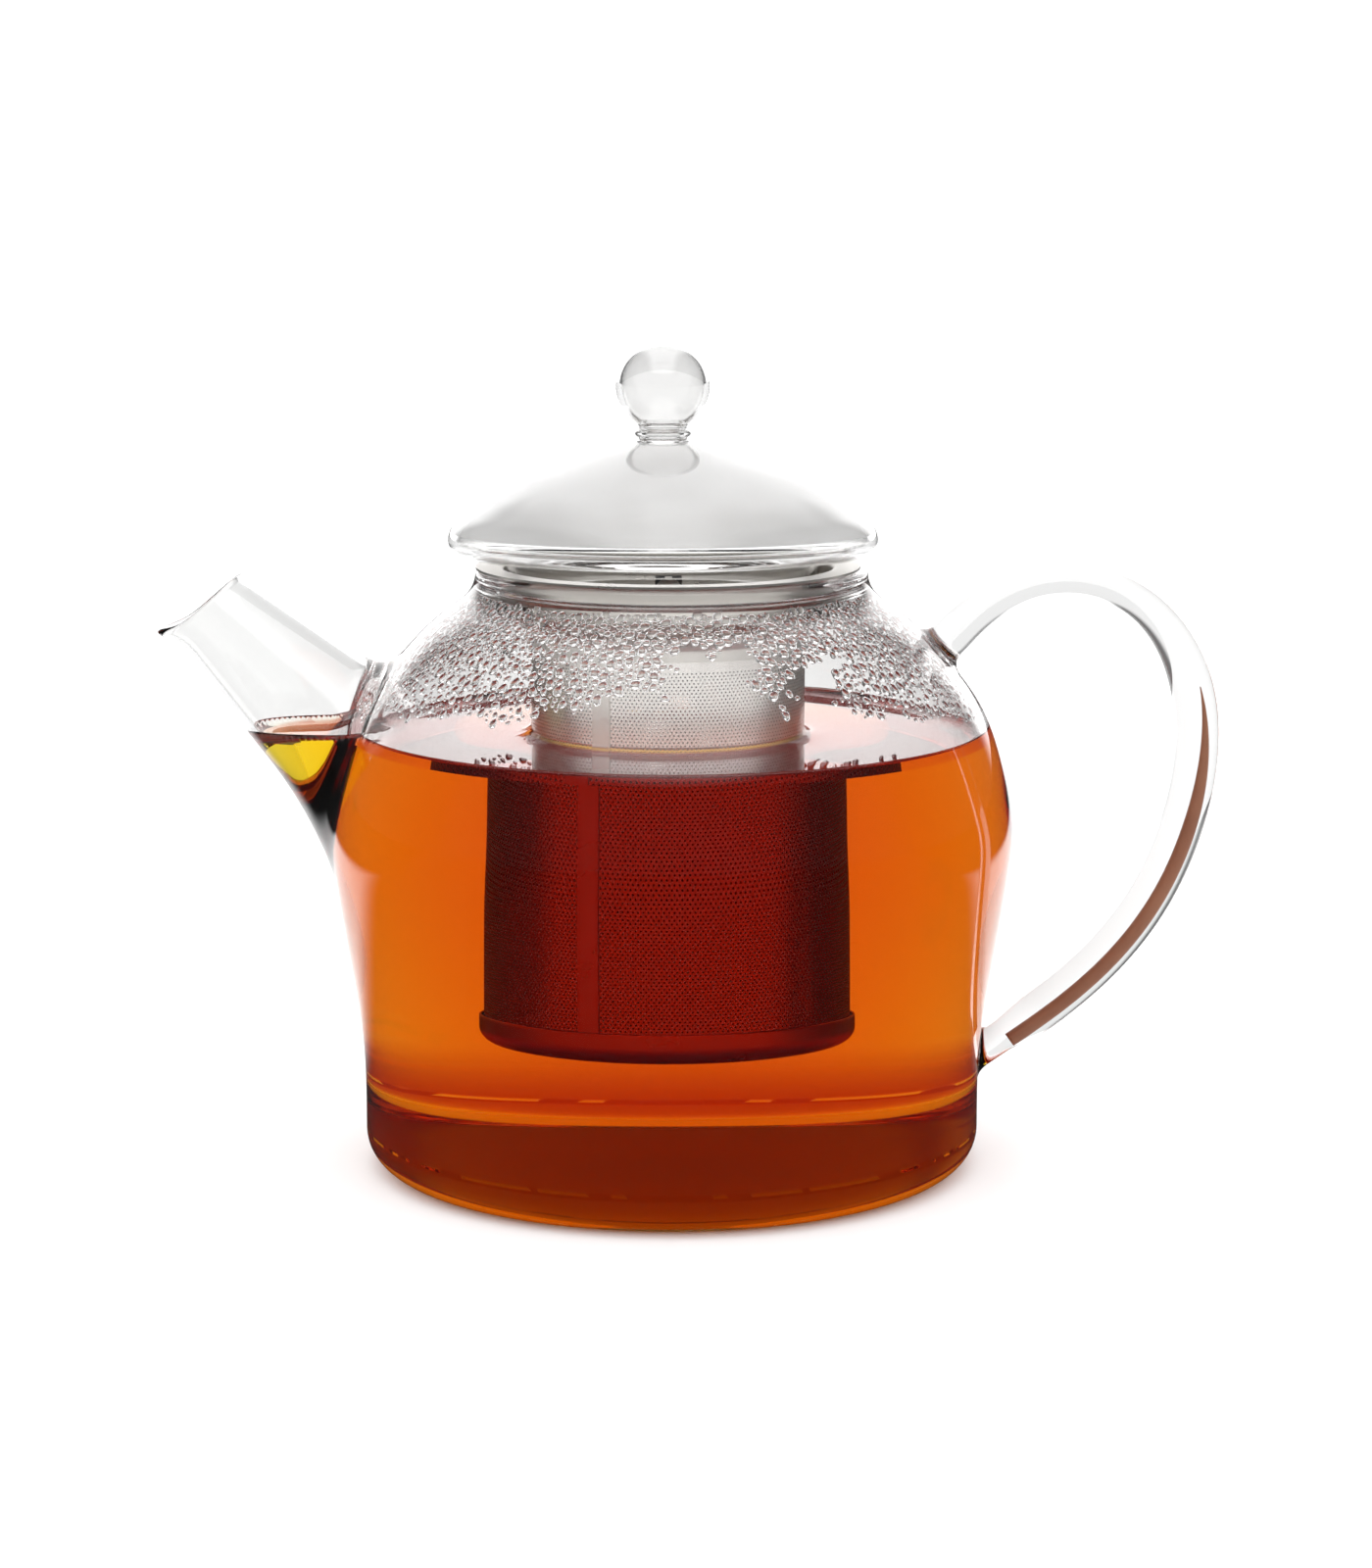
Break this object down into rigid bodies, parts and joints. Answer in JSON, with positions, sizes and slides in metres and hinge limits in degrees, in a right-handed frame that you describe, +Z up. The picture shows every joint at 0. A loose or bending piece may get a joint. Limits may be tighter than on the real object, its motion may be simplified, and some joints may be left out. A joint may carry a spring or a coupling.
{
  "type": "teapot",
  "caption": "Clear glass teapot with a fused spout and loop handle, a lift-out perforated steel infuser and a loose glass lid with a ball knob.",
  "frame": {"origin": "centre of the flat base, on the axis of the bowl", "axes": "+Z up, +X towards the handle, -X towards the spout, -Y towards the front"},
  "size_m": [0.236, 0.1528, 0.1851],
  "materials": {
    "pot_glass": "clear, smooth, fire-polished",
    "handle_glass": "clear solid rod, smooth",
    "lid_glass": "clear, faintly misted by steam",
    "knob_glass": "clear, smooth",
    "satin_steel": "satin",
    "perforated_steel": "satin, finely perforated"
  },
  "bodies": {
    "pot": {"pot_bowl": "pot_glass", "rim_bead": "pot_glass", "spout": "pot_glass", "handle": "handle_glass", "handle_upper_weld": "handle_glass", "handle_lower_weld": "handle_glass"},
    "infuser": {"infuser_collar": "satin_steel", "infuser_basket_wall": "perforated_steel", "infuser_seam_strip": "satin_steel", "infuser_bottom_cup": "satin_steel"},
    "lid": {"lid_dome": "lid_glass", "lid_skirt": "lid_glass", "lid_neck_bead": "lid_glass", "lid_knob": "knob_glass"}
  },
  "joints": [
    {"name": "infuser_lift", "type": "slide", "parent": "pot", "child": "infuser", "axis": [0, 0, 1], "range_m": [0, 0.13]},
    {"name": "lid_lift", "type": "slide", "parent": "infuser", "child": "lid", "axis": [0, 0, 1], "range_m": [0, 0.06]}
  ]
}
